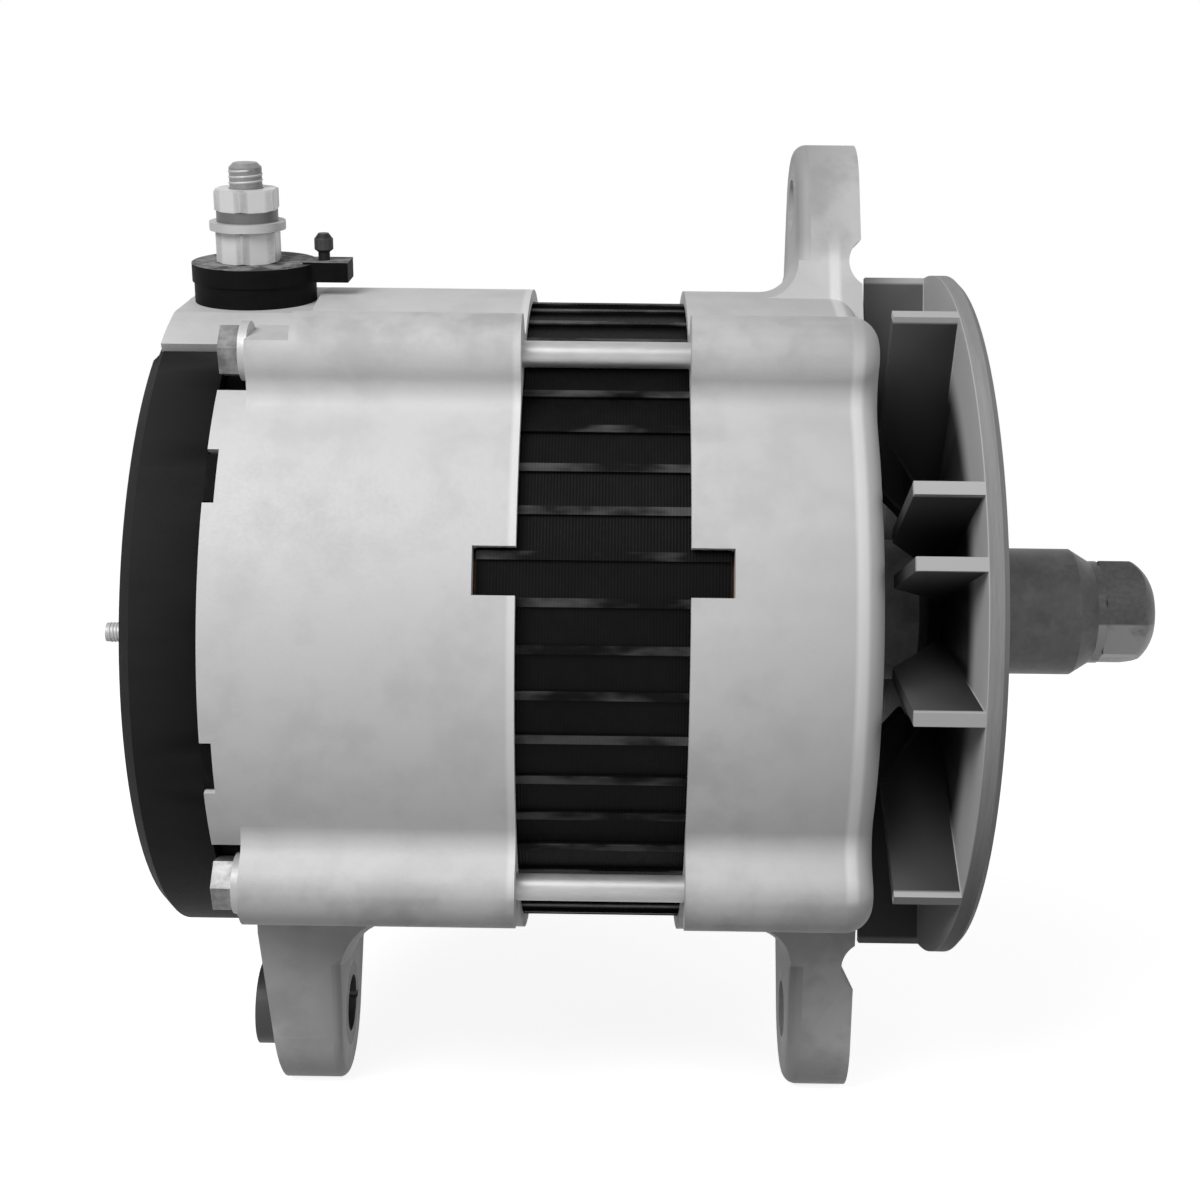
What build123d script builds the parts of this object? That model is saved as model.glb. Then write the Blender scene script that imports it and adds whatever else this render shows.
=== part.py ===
from build123d import *
import math
import os

# Heavy-duty hinge-mounted alternator with an outside fan.
# Millimetres. X runs along the shaft towards the shaft nut, Z is up, and the near side is -Y.
# The origin is on the shaft axis, at the middle of the pulley seat.
# An elevation is an angle round the shaft: 0 points to -Y, 90 points up, 180 points to +Y.
# A radius along an elevation is called a height where a piece stands on the housing.

# Clearances
static_gap = 0.05
running_gap = 0.05
bolt_gap = 0.3
loose_gap = 0.5

# Radial build-up, from the bore of the stator outwards
stator_bore = 50.0
slot_depth = 12.0
back_iron = 9.3
register_wall = 2.9
cavity_wall = 6.7
rear_cavity_wall = 4.7

# Pulley end of the shaft
seat_length = 34.0
seat_radius = 14.8
seat_chamfer_length = 4.5
seat_chamfer_depth = 2.8
shaft_front_radius = 8.5
shaft_step_depth = 2.0
thread_radius = 7.0
nut_flats = 22.0
nut_length = 12.3
nut_corner_elevation = 13.5
nut_dome_length = 5.4
nut_dome_radius = 7.5
nut_bulge_back = 0.36
nut_bulge_share = 0.55
nut_washer_thickness = 1.9
nut_washer_radius = 12.0
shaft_tip_inset = 1.2
key_width = 5.0
key_height = 5.0
key_sunk = 2.6
key_end_margin = 6.0
key_hub_margin = 2.0

# Fan
fan_radius = 78.4
fan_front = -17.8
fan_disc_thickness = 4.3
fan_bevel = 1.2
fan_hub_radius = 25.0
fan_hub_length = 8.0
fan_hub_fillet = 2.0
vane_depth = 13.9
vane_thickness = 2.8
vane_inner_radius = 31.0
vane_full_radius = 50.0
vane_foot_depth = 2.0
vane_elevations = [91.0, 56.4, 21.1, 9.9, -12.4, -46.6]

# Front housing
front_face = -40.7
front_rear_edge = -79.3
front_wall = 6.3
shoulder_radius = 6.0
front_boss_radius = 41.0
spacer_hole_radius = 17.5
front_window_land = 4.0
front_window_edge = 10.7
front_window_count = 8
front_window_angle = 27.0
window_corner = 3.0

# Both housings
register_depth = 8.0
bolt_offset = 3.5
bolt_elevations = [45.0, 135.0, 225.0, 315.0]
bolt_radius = 2.75
boss_radius = 8.4
boss_blend = 6.0
notch_elevations = [8.5, 188.5]
notch_width = 9.8
notch_depth = 8.6

# Rear housing
rear_front_edge = -113.9
rear_edge = -176.3
end_wall_rear = -158.0
end_wall = 5.0
boss_rear = -169.9
pocket_gap = 0.4
rear_window_elevations = [25.2, 85.2, 145.2, 205.2, 265.2]
rear_window_angle = 24.0
rear_window_land = 5.0
rear_window_edge = 14.7
rear_hub_radius = 26.0
edge_notch_elevations = [23.0, -23.5, 157.0, 203.5]
edge_notch_angle = 9.0
edge_notch_depth = 2.3
tongue_low = 50.0
tongue_high = 100.0
tongue_rear = -190.6
tongue_clear_angle = 1.0

# Hinge and adjusting lugs
hinge_gap = 101.6
front_lug_rear = -53.7
front_lug_thickness = 14.2
lug_reach = 20.6
lug_bore_radius = 6.5
upper_lug_end = 14.5
lower_lug_end = 16.8
lug_root_half = 25.0
lug_root_depth = 12.2
lug_edge_round = 3.0
neck_groove_radius = 6.2
neck_groove_depth = 2.8
neck_groove_rise = 5.3
lug_gusset = 8.0
rear_lug_root_rear = -173.6
rear_lug_end_rear = -169.2
rear_edge_round = 2.0
rear_gusset_length = 17.0
rear_gusset_height = 9.0
rear_gusset_bow = (3.7, 2.7)
bush_radius = 9.5
bush_bore_radius = 6.45
bush_length = 21.2
bush_slot = 1.6

# Stator
slot_count = 48
slot_width = 3.2
rib_width = 1.8
rib_height = 1.0
conductor_gap = 0.1
conductor_inset = 2.0
crown_clear = 1.2
crown_spread = 4.0
crown_reach = 16.5
crown_round = 2.5
lead_radius = 1.2
lead_elevations = [20.0, 105.0, 160.0]

# Rotor
air_gap = 0.6
pole_length = 62.2
pole_plate = 12.0
claw_count = 7
claw_root_width = 21.0
claw_tip_width = 8.0
claw_root_thickness = 13.0
claw_root_overlap = 4.0
claw_tip_thickness = 4.5
claw_tip_margin = 3.0
pole_web_step = 1.5
pole_core_radius = 21.0
rotor_seat_radius = 11.0
bobbin_wall = 1.6
coil_gap = 1.9

# Bearings
front_bearing_bore = 12.5
front_bearing_radius = 31.0
front_bearing_width = 17.0
front_bearing_split = 19.0
front_lip = 2.5
rear_bearing_bore = 8.5
rear_bearing_radius = 20.0
rear_bearing_width = 12.0
rear_bearing_split = 12.4
rear_lip = 2.5
rear_lip_hole = 16.0
bearing_chamfer = 0.8
retainer_thickness = 2.0
retainer_bore = 27.0
retainer_screw_circle = 36.0
retainer_screw_radius = 2.0
retainer_screw_elevations = [45.0, 135.0, 225.0, 315.0]
retainer_screw_length = 8.0
pan_head_radius = 3.6
pan_head_height = 1.9
spacer_radius = 16.4
rear_shoulder_radius = 10.2

# Slip rings and brushes
shaft_tail_radius = 7.0
shaft_rear_end = -186.0
ring_radius = 13.0
ring_width = 6.0
ring_pitch = 10.0
ring_front = -166.0
ring_sleeve_radius = 10.4
ring_sleeve_margin = 1.5
brush_width = 5.0
brush_depth = 7.0
brush_length = 14.0
brush_contact_gap = 0.1
holder_margin = 2.5
holder_half = 7.6
holder_clear = 1.6
holder_floor = 2.0
spring_length = 12.0
spring_radius = 2.1
spring_wall = 0.7
holder_foot_half = 22.5
holder_foot_thickness = 6.0
holder_foot_top = 24.0
holder_screw_y = 17.0
holder_screw_z = 31.0
small_screw_radius = 2.0

# Rectifier
sink_hub_gap = 1.0
sink_lead_gap = 3.2
sink_low = -14.0
sink_high = 194.0
sink_thickness = 3.5
sink_spacing = 7.5
diode_radius = 6.4
diode_height = 7.0
diode_lead_radius = 1.0
diode_lead_clear = 2.0
positive_diodes = [25.0, 93.0, 150.0]
negative_diodes = [48.0, 130.0, 172.0]
board_thickness = 3.5
board_front_gap = 6.0
board_inset = 7.0
board_edge = 1.0
board_ear_half = 4.0
board_ear_wall = 1.2
stud_inset = 10.8
stud_elevations = [-4.8, 115.2]
lone_stud_elevation = 235.2
stud_radius = 2.0
stud_tip = -201.0
bush_shoulder_radius = 5.0
bush_neck_radius = 3.4
regulator_elevation = -37.0
regulator_inset = 28.5
regulator_width = 21.0
regulator_height = 21.0
regulator_base = 6.0
regulator_fin_height = 8.0
regulator_fins = 5
regulator_screw_offset = 7.6

# Rear cover
cover_step = 1.0
cover_rear = -192.4
cover_wall = 2.4
cover_round = 2.5
spigot_depth = 8.0
cover_post_radius = 5.0
vent_count = 24
vent_inner = 20.0
vent_stud_gap = 8.2
vent_width = 2.6
outer_vent_edge = 7.2
outer_vent_length = 10.0
cover_nut_flats = 7.0
cover_nut_height = 3.2
cover_washer_radius = 4.5
cover_washer_thickness = 0.8

# Output terminal
terminal_x = -177.0
terminal_elevation = 73.0
terminal_flat_depth = 1.7
insulator_shift = 1.2
collar_radius = 13.5
collar_height = 4.7
flange_radius = 13.9
flange_thickness = 4.0
insulator_neck_radius = 6.2
insulator_neck_reach = 2.9
ear_end_reach = 22.6
ear_half = 4.2
ear_extra = 0.4
output_stud_radius = 3.9
output_end_radius = 3.6
output_end_length = 4.6
output_end_chamfer = 1.0
output_nut_flats = 13.0
output_nut_chamfer = 0.8
lower_nut_height = 7.2
upper_nut_height = 4.8
plain_washer_radius = 8.4
plain_washer_thickness = 1.8
spring_washer_radius = 6.8
spring_washer_thickness = 2.4
inner_washer_radius = 9.0
inner_washer_drop = 0.8
inner_washer_thickness = 2.2
inner_head_height = 4.0
link_thickness = 2.0
link_width = 12.0
link_overlap = 9.0
signal_reach = 16.8
signal_pin_radius = 1.3
signal_pin_length = 4.3
signal_pin_sunk = 2.0
signal_tip_radius = 2.1

# Through bolts
bolt_head_flats = 10.0
bolt_head_height = 4.2
bolt_washer_radius = 6.2
bolt_washer_thickness = 1.8
bolt_tip_depth = 24.0

# Radii worked out from the sizes above
slot_root_radius = stator_bore + slot_depth
stator_radius = slot_root_radius + back_iron
housing_radius = stator_radius + register_wall
cavity_radius = housing_radius - cavity_wall
rear_cavity_radius = housing_radius - rear_cavity_wall
rotor_radius = stator_bore - air_gap
coil_radius = rotor_radius - claw_root_thickness - coil_gap
pole_web_radius = coil_radius - pole_web_step
crown_inner = stator_bore + crown_clear
crown_outer = slot_root_radius + crown_spread
conductor_inner = stator_bore + conductor_inset
lead_circle = crown_outer - crown_round - lead_radius - conductor_gap
bolt_circle = housing_radius + bolt_offset
pocket_radius = boss_radius + pocket_gap
lug_bore_circle = housing_radius + lug_reach
lug_root_radius = housing_radius - lug_root_depth
neck_groove_height = housing_radius + neck_groove_rise
front_window_inner = front_boss_radius + front_window_land
front_window_outer = housing_radius - front_window_edge
rear_window_inner = rear_hub_radius + rear_window_land
rear_window_outer = housing_radius - rear_window_edge
sink_inner = rear_hub_radius + sink_hub_gap
sink_outer = lead_circle - sink_lead_gap
diode_circle = (sink_inner + sink_outer) / 2
board_inner = sink_inner + board_inset
board_outer = sink_outer - board_edge
stud_circle = sink_outer - stud_inset
regulator_circle = housing_radius - regulator_inset
cover_radius = housing_radius - cover_step
vent_outer = stud_circle - vent_stud_gap
outer_vent_outer = cover_radius - outer_vent_edge
outer_vent_inner = outer_vent_outer - outer_vent_length

# Heights of the output terminal
terminal_flat = housing_radius - terminal_flat_depth
flange_bottom = terminal_flat + collar_height
terminal_top = flange_bottom + flange_thickness
insulator_neck_end = rear_cavity_radius - insulator_neck_reach
inner_washer_top = rear_cavity_radius - inner_washer_drop
inner_head_top = inner_washer_top - inner_washer_thickness
inner_head_low = inner_head_top - inner_head_height
lower_nut_top = terminal_top + lower_nut_height
plain_washer_top = lower_nut_top + plain_washer_thickness
spring_washer_top = plain_washer_top + spring_washer_thickness
upper_nut_top = spring_washer_top + upper_nut_height
output_stud_tip = upper_nut_top + output_end_length + output_end_chamfer
insulator_x = terminal_x + insulator_shift
signal_x = terminal_x + signal_reach

# Places along the shaft
seat_front = seat_length / 2
seat_rear = -seat_length / 2
stack_front = front_rear_edge + register_depth
stack_rear = rear_front_edge - register_depth
stack_middle = (stack_front + stack_rear) / 2
bearing_front_face = front_face - front_lip
bearing_rear_face = bearing_front_face - front_bearing_width
rear_bearing_rear = end_wall_rear + rear_lip
rear_bearing_front = rear_bearing_rear + rear_bearing_width
pole_front = stack_middle + pole_length / 2
pole_rear = stack_middle - pole_length / 2
end_wall_front = end_wall_rear + end_wall
fan_hub_rear = seat_rear - fan_hub_length
rear_lug_front = front_lug_rear - hinge_gap
negative_front = end_wall_rear
negative_rear = negative_front - sink_thickness
positive_front = negative_rear - sink_spacing
positive_rear = positive_front - sink_thickness
board_front = positive_rear - board_front_gap
board_rear = board_front - board_thickness
bolt_tip = front_rear_edge + bolt_tip_depth
bush_front = rear_lug_front
bush_rear = bush_front - bush_length


def turn(elevation):
    """Swing a piece that is drawn above the shaft round to an elevation."""
    return Rot(90 - elevation, 0, 0)


def spot(elevation, radius):
    """A place beside the shaft, on the YZ plane."""
    angle = math.radians(elevation)
    return (-radius * math.cos(angle), radius * math.sin(angle))


def bar(x_low, x_high, radius):
    return extrude(Plane.YZ.offset(x_low) * Circle(radius), x_high - x_low)


def tube(x_low, x_high, outer, inner):
    return extrude(Plane.YZ.offset(x_low) * (Circle(outer) - Circle(inner)), x_high - x_low)


def side_bar(x_low, x_high, radius, elevation, circle):
    """A bar parallel to the shaft, on a circle round it."""
    y, z = spot(elevation, circle)
    return Pos(0, y, z) * bar(x_low, x_high, radius)


def side_tube(x_low, x_high, outer, inner, elevation, circle):
    y, z = spot(elevation, circle)
    return Pos(0, y, z) * tube(x_low, x_high, outer, inner)


def half_profile(points):
    """A face in the upper XZ plane, from points of place along the shaft and radius."""
    return Plane.XZ * make_face(Polyline([(x, r) for x, r in points], close=True))


def turned(points):
    return revolve(half_profile(points), Axis.X)


def sector(points, high, low):
    """Part of a turned shape, between two elevations."""
    return turn(high) * revolve(half_profile(points), Axis.X, high - low)


def block(x_low, x_high, y_low, y_high, z_low, z_high):
    centre = ((x_low + x_high) / 2, (y_low + y_high) / 2, (z_low + z_high) / 2)
    return Pos(*centre) * Box(x_high - x_low, y_high - y_low, z_high - z_low)


def upright(x, low, high, radius):
    """A bar that stands away from the shaft, drawn straight up."""
    return Pos(x, 0, (low + high) / 2) * Cylinder(radius, high - low)


def upright_hex(x, low, high, flats):
    return Pos(x, 0, low) * extrude(RegularPolygon(flats / math.sqrt(3), 6, rotation=30), high - low)


def hex_along(x_low, x_high, flats, elevation, circle):
    """A hexagon parallel to the shaft, on a circle round it."""
    y, z = spot(elevation, circle)
    outline = Pos(y, z) * RegularPolygon(flats / math.sqrt(3), 6)
    return extrude(Plane.YZ.offset(x_low) * outline, x_high - x_low)


def window(inner, outer, angle, corner):
    """A ring segment with rounded corners, in the YZ plane about the upward direction."""
    half = math.radians(angle / 2)
    low_left = (-inner * math.sin(half), inner * math.cos(half))
    low_right = (inner * math.sin(half), inner * math.cos(half))
    high_left = (-outer * math.sin(half), outer * math.cos(half))
    high_right = (outer * math.sin(half), outer * math.cos(half))
    edges = ThreePointArc(low_left, (0, inner), low_right)
    edges += Line(low_right, high_right)
    edges += ThreePointArc(high_right, (0, outer), high_left)
    edges += Line(high_left, low_left)
    face = make_face(edges)
    return fillet(face.vertices(), corner)


def skirt_outline():
    """The housing's round outline with its four bolt bosses blended in."""
    outline = Rot(0, 0, bolt_elevations[0]) * Circle(housing_radius)
    for elevation in bolt_elevations:
        outline += Rot(0, 0, elevation) * Pos(bolt_circle, 0) * Rot(0, 0, 180) * Circle(boss_radius)
    return fillet(outline.vertices(), boss_blend)


def lug_outline(end_radius):
    """A lug seen along the shaft, pointing up: a round end on straight flanks that spread to the root."""
    end = Pos(0, lug_bore_circle) * Circle(end_radius)
    root = Pos(0, lug_root_radius) * Rectangle(2 * lug_root_half, 1.0)
    return make_hull(end.edges() + root.edges())


def lug_bore(x_low, x_high, radius):
    return Pos(0, 0, lug_bore_circle) * bar(x_low, x_high, radius)


def front_lug(end_radius):
    """A front lug, pointing up, with a rounded inner edge, a neck groove and a gusset round the housing."""
    front = front_lug_rear + front_lug_thickness
    solid = extrude(Plane.YZ.offset(front_lug_rear) * lug_outline(end_radius), front_lug_thickness)
    inner_edges = solid.faces().sort_by(Axis.X)[0].edges()
    solid = fillet(inner_edges.filter_by(lambda e: e.center().Z > lug_root_radius + 1), lug_edge_round)
    groove_x = front + neck_groove_radius - neck_groove_depth
    groove_half = lug_root_half + neck_groove_radius
    groove = Rot(90, 0, 0) * Cylinder(neck_groove_radius, 2 * groove_half)
    top = housing_radius + lug_gusset
    start = front_lug_rear - lug_gusset
    bow = lug_gusset * (1 - math.sqrt(0.5))
    middle = (front_lug_rear - bow, housing_radius + bow)
    edges = ThreePointArc((start, housing_radius), middle, (front_lug_rear, top))
    edges += Polyline((front_lug_rear, top), (front, top), (front, lug_root_radius))
    edges += Polyline((front, lug_root_radius), (start, lug_root_radius), (start, housing_radius))
    gusset = revolve(Plane.XZ * make_face(edges), Axis.X)
    gusset &= extrude(Plane.YZ.offset(start) * lug_outline(end_radius), front - start)
    return solid + gusset - Pos(groove_x, 0, neck_groove_height) * groove


def rear_lug():
    """The rear hinge lug, pointing up: a tapered web that runs out into a long gusset round the housing."""
    end = lug_bore_circle + lower_lug_end
    foot = housing_radius - 1.0
    web = extrude(Plane.YZ.offset(rear_lug_root_rear) * lug_outline(lower_lug_end),
                  rear_lug_front - rear_lug_root_rear)
    inner_edges = web.faces().sort_by(Axis.X)[-1].edges()
    web = fillet(inner_edges.filter_by(lambda e: e.center().Z > lug_root_radius + 1), rear_edge_round)
    taper = make_face(Polyline([
        (rear_lug_root_rear, lug_root_radius - 1), (rear_lug_root_rear, foot), (rear_lug_end_rear, end + 1),
        (rear_lug_front, end + 1), (rear_lug_front, lug_root_radius - 1),
    ], close=True))
    web &= extrude(Plane.XZ * taper, 2 * lug_root_half, both=True)
    toe = rear_lug_front + rear_gusset_length
    crest = housing_radius + rear_gusset_height
    middle = (rear_lug_front + rear_gusset_bow[0], housing_radius + rear_gusset_bow[1])
    heel = rear_lug_front - lug_edge_round
    edges = Spline((rear_lug_front, crest), middle, (toe, foot))
    edges += Polyline((toe, foot), (toe, lug_root_radius), (heel, lug_root_radius))
    edges += Polyline((heel, lug_root_radius), (heel, crest), (rear_lug_front, crest))
    gusset = revolve(Plane.XZ * make_face(edges), Axis.X)
    gusset &= extrude(Plane.YZ.offset(heel) * lug_outline(lower_lug_end), toe - heel)
    return web + gusset


def bolt_holes(x_low, x_high, radius):
    return [side_bar(x_low, x_high, radius, e, bolt_circle) for e in bolt_elevations]


def retainer_holes(x_low, x_high):
    radius = retainer_screw_radius + static_gap
    return [side_bar(x_low, x_high, radius, e, retainer_screw_circle) for e in retainer_screw_elevations]


def skirt_notches(x_low, x_high):
    """Square-cut notches in the open edge of a housing's skirt."""
    return [
        turn(e) * block(x_low, x_high, -notch_width / 2, notch_width / 2, stator_bore, 2 * housing_radius)
        for e in notch_elevations
    ]


def front_housing():
    """Drive-end casting: skirt, rounded front wall with air windows, bearing seat, two lugs."""
    body = extrude(Plane.YZ.offset(front_rear_edge) * skirt_outline(), front_face - front_rear_edge)
    solid = fillet(body.faces().sort_by(Axis.X)[-1].edges(), shoulder_radius)
    solid += front_lug(upper_lug_end)
    solid += Rot(180, 0, 0) * front_lug(lower_lug_end)
    wall_rear = front_face - front_wall
    register = stator_radius + static_gap
    solid -= turned([
        (front_rear_edge - 1, 0), (front_rear_edge - 1, register), (stack_front, register),
        (stack_front, cavity_radius), (wall_rear - window_corner, cavity_radius),
        (wall_rear, cavity_radius - window_corner), (wall_rear, front_boss_radius),
        (bearing_rear_face, front_boss_radius), (bearing_rear_face, 0),
    ])
    solid -= bar(bearing_rear_face - 1, bearing_front_face, front_bearing_radius + static_gap)
    solid -= bar(bearing_front_face - 1, front_face + 1, spacer_hole_radius)
    opening = window(front_window_inner, front_window_outer, front_window_angle, window_corner)
    cutter = extrude(Plane.YZ.offset(wall_rear - 2) * opening, front_wall + 4)
    step = 360 / front_window_count
    solid -= [Rot((i + 0.5) * step, 0, 0) * cutter for i in range(front_window_count)]
    solid -= bolt_holes(front_rear_edge - 1, bolt_tip + 1, bolt_radius + static_gap)
    solid -= skirt_notches(front_rear_edge - 1, front_rear_edge + notch_depth)
    solid -= retainer_holes(bearing_rear_face - 1, bearing_rear_face + retainer_screw_length)
    lug_front = front_lug_rear + front_lug_thickness
    solid -= lug_bore(front_lug_rear - 1, lug_front + 1, lug_bore_radius)
    solid -= Rot(180, 0, 0) * lug_bore(front_lug_rear - 1, lug_front + 1, lug_bore_radius)
    return solid


def rear_rim():
    """The skirt behind the bolt bosses, with the shelf that carries the output terminal over the cover."""
    rim = tube(rear_edge, boss_rear, housing_radius, rear_cavity_radius)
    rim += sector([
        (boss_rear - 1, rear_cavity_radius), (tongue_rear, rear_cavity_radius),
        (tongue_rear, housing_radius), (boss_rear - 1, housing_radius),
    ], tongue_high, tongue_low)
    for pocket in bolt_holes(rear_edge - 1, boss_rear + 1, pocket_radius):
        rim -= pocket
    for elevation in edge_notch_elevations:
        rim -= sector([
            (rear_edge - 1, rear_cavity_radius - 1), (rear_edge + edge_notch_depth, rear_cavity_radius - 1),
            (rear_edge + edge_notch_depth, housing_radius + 1), (rear_edge - 1, housing_radius + 1),
        ], elevation + edge_notch_angle / 2, elevation - edge_notch_angle / 2)
    return rim


def rear_housing():
    """Slip-ring-end casting: skirt, end wall with air windows, bearing seat, hinge lug, terminal shelf."""
    solid = extrude(Plane.YZ.offset(boss_rear) * skirt_outline(), rear_front_edge - boss_rear)
    lug = Rot(180, 0, 0) * rear_lug()
    register = stator_radius + static_gap
    solid -= turned([
        (rear_front_edge + 1, 0), (rear_front_edge + 1, register), (stack_rear, register),
        (stack_rear, cavity_radius), (end_wall_front, cavity_radius), (end_wall_front, rear_hub_radius),
        (rear_bearing_front, rear_hub_radius), (rear_bearing_front, 0),
    ])
    solid -= bar(boss_rear - 1, end_wall_rear, rear_cavity_radius)
    solid -= bar(rear_bearing_rear, rear_bearing_front + 1, rear_bearing_radius + static_gap)
    solid -= bar(end_wall_rear - 1, rear_bearing_rear + 1, rear_lip_hole)
    opening = window(rear_window_inner, rear_window_outer, rear_window_angle, window_corner)
    cutter = extrude(Plane.YZ.offset(end_wall_rear - 1) * opening, end_wall + 2)
    for elevation in rear_window_elevations:
        solid -= turn(elevation) * cutter
    lug -= bar(rear_edge - 1, rear_front_edge, (rear_cavity_radius + housing_radius) / 2)
    solid += rear_rim()
    solid += lug
    lone_y, lone_z = spot(lone_stud_elevation, stud_circle)
    solid += Pos(0, lone_y, lone_z) * bar(positive_rear, end_wall_rear, cover_post_radius)
    for hole in bolt_holes(boss_rear - 1, rear_front_edge + 1, bolt_radius + bolt_gap):
        solid -= hole
    for notch in skirt_notches(rear_front_edge - notch_depth, rear_front_edge + 1):
        solid -= notch
    flat_half = flange_radius + 1
    flat = block(insulator_x - flat_half, insulator_x + flat_half, -housing_radius, housing_radius,
                 terminal_flat, 2 * housing_radius)
    neck = upright(terminal_x, rear_cavity_radius - 2, terminal_flat + 1, insulator_neck_radius + static_gap)
    solid -= turn(terminal_elevation) * flat
    solid -= turn(terminal_elevation) * neck
    for elevation in lead_elevations:
        hole = side_bar(end_wall_rear - 1, end_wall_front + 1, lead_radius + loose_gap, elevation, lead_circle)
        solid -= hole
    for elevation in stud_elevations + [lone_stud_elevation]:
        hole = side_bar(positive_rear - 1, end_wall_front + 1, stud_radius + static_gap, elevation, stud_circle)
        solid -= hole
    for side in (-1, 1):
        hole = bar(end_wall_rear - 1, end_wall_front + 1, small_screw_radius + static_gap)
        solid -= Pos(0, side * holder_screw_y, -holder_screw_z) * hole
        solid -= Pos(0, *regulator_hole(side)) * hole
    bore = lug_bore(rear_edge - 1, rear_lug_front + 1, bush_radius + running_gap)
    return solid - Rot(180, 0, 0) * bore


def regulator_hole(side):
    offset = side * regulator_screw_offset
    y, z = spot(regulator_elevation, regulator_circle)
    return (y - offset, z + offset)


def hinge_bush():
    """Split steel bush that slides in the rear lug until it meets the engine's bracket."""
    outline = Circle(bush_radius) - Circle(bush_bore_radius)
    outline -= Pos(bush_radius, 0) * Rectangle(bush_radius, bush_slot)
    solid = extrude(Plane.YZ.offset(bush_rear) * outline, bush_length)
    return Pos(0, 0, -lug_bore_circle) * solid


def stator_core():
    """Laminated stack: narrow ribs outside, open winding slots inside."""
    outline = Circle(stator_radius) - Circle(stator_bore)
    step = 360 / slot_count
    groove_width = 2 * math.pi * stator_radius / slot_count - rib_width
    groove = Pos(stator_radius, 0) * Rectangle(2 * rib_height, groove_width)
    slot_length = slot_depth + 2
    slot = Pos(slot_root_radius - slot_length / 2, 0) * Rectangle(slot_length, slot_width)
    for i in range(slot_count):
        outline -= Rot(0, 0, i * step) * groove
        outline -= Rot(0, 0, i * step) * slot
    return extrude(Plane.YZ.offset(stack_rear) * outline, stack_front - stack_rear)


def crown(x_low, x_high, outward):
    """The turned-over winding heads on one end of the stack."""
    root = x_low if outward > 0 else x_high
    tip = x_high if outward > 0 else x_low
    edge = tip - outward * crown_round
    return turned([
        (root, crown_inner), (edge, crown_inner), (tip, crown_inner + crown_round),
        (tip, crown_outer - crown_round), (edge, crown_outer), (root, crown_outer),
    ])


def stator_winding():
    """Conductors in every slot, joined by the two winding heads."""
    solid = crown(stack_front, stack_front + crown_reach, 1)
    solid += crown(stack_rear - crown_reach, stack_rear, -1)
    width = slot_width - 2 * conductor_gap
    conductors = Sketch()
    for i in range(slot_count):
        length = slot_root_radius - conductor_gap - conductor_inner
        strip = Pos(conductor_inner + length / 2, 0) * Rectangle(length, width)
        conductors += Rot(0, 0, i * 360 / slot_count) * strip
    return solid + extrude(Plane.YZ.offset(stack_rear) * conductors, stack_front - stack_rear)


def stator_leads():
    """Three phase leads that run from the winding head to the rectifier's terminal board."""
    return [
        side_bar(board_rear - 1, stack_rear - crown_reach, lead_radius, e, lead_circle)
        for e in lead_elevations
    ]


def through_bolts():
    """Four long bolts that draw the two housings onto the stator."""
    head_front = boss_rear - bolt_washer_thickness
    solids = []
    for elevation in bolt_elevations:
        shank = side_bar(head_front, bolt_tip, bolt_radius, elevation, bolt_circle)
        head = hex_along(head_front - bolt_head_height, head_front, bolt_head_flats, elevation, bolt_circle)
        solids.append(shank + head)
    return solids


def through_bolt_washers():
    low = boss_rear - bolt_washer_thickness
    return [
        side_tube(low, boss_rear, bolt_washer_radius, bolt_radius + static_gap, e, bolt_circle)
        for e in bolt_elevations
    ]


def bearing_ring(x_low, x_high, outer, inner):
    return turned([
        (x_low, inner), (x_high, inner), (x_high, outer - bearing_chamfer),
        (x_high - bearing_chamfer, outer), (x_low + bearing_chamfer, outer), (x_low, outer - bearing_chamfer),
    ])


def front_bearing_outer():
    return bearing_ring(bearing_rear_face, bearing_front_face, front_bearing_radius,
                        front_bearing_split + running_gap)


def front_bearing_inner():
    return tube(bearing_rear_face, bearing_front_face, front_bearing_split, front_bearing_bore + static_gap)


def rear_bearing_outer():
    return bearing_ring(rear_bearing_rear, rear_bearing_front, rear_bearing_radius,
                        rear_bearing_split + running_gap)


def rear_bearing_inner():
    return tube(rear_bearing_rear, rear_bearing_front, rear_bearing_split, rear_bearing_bore + static_gap)


def bearing_retainer():
    low = bearing_rear_face - retainer_thickness
    plate = tube(low, bearing_rear_face, front_boss_radius, retainer_bore)
    return plate - retainer_holes(low - 1, bearing_rear_face + 1)


def pan_screw(x_head, x_tip, radius, y, z):
    """A small screw along the shaft; its head lies behind x_head and its end is at x_tip."""
    screw = bar(x_head - pan_head_height, x_head, pan_head_radius) + bar(x_head, x_tip, radius)
    return Pos(0, y, z) * screw


def retainer_screws():
    low = bearing_rear_face - retainer_thickness
    tip = bearing_rear_face + retainer_screw_length - 1
    screws = []
    for elevation in retainer_screw_elevations:
        y, z = spot(elevation, retainer_screw_circle)
        screws.append(pan_screw(low, tip, retainer_screw_radius, y, z))
    return screws


def heat_sink(x_low, holes):
    """A horseshoe plate; holes are tuples of elevation, circle and radius."""
    plate = sector([
        (x_low, sink_inner), (x_low + sink_thickness, sink_inner),
        (x_low + sink_thickness, sink_outer), (x_low, sink_outer),
    ], sink_high, sink_low)
    for elevation, circle, radius in holes:
        plate -= side_bar(x_low - 1, x_low + sink_thickness + 1, radius, elevation, circle)
    return plate


def negative_heat_sink():
    holes = [(e, stud_circle, stud_radius + bolt_gap) for e in stud_elevations]
    holes += [(e, diode_circle, diode_radius + static_gap) for e in negative_diodes]
    return heat_sink(negative_rear, holes)


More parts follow.
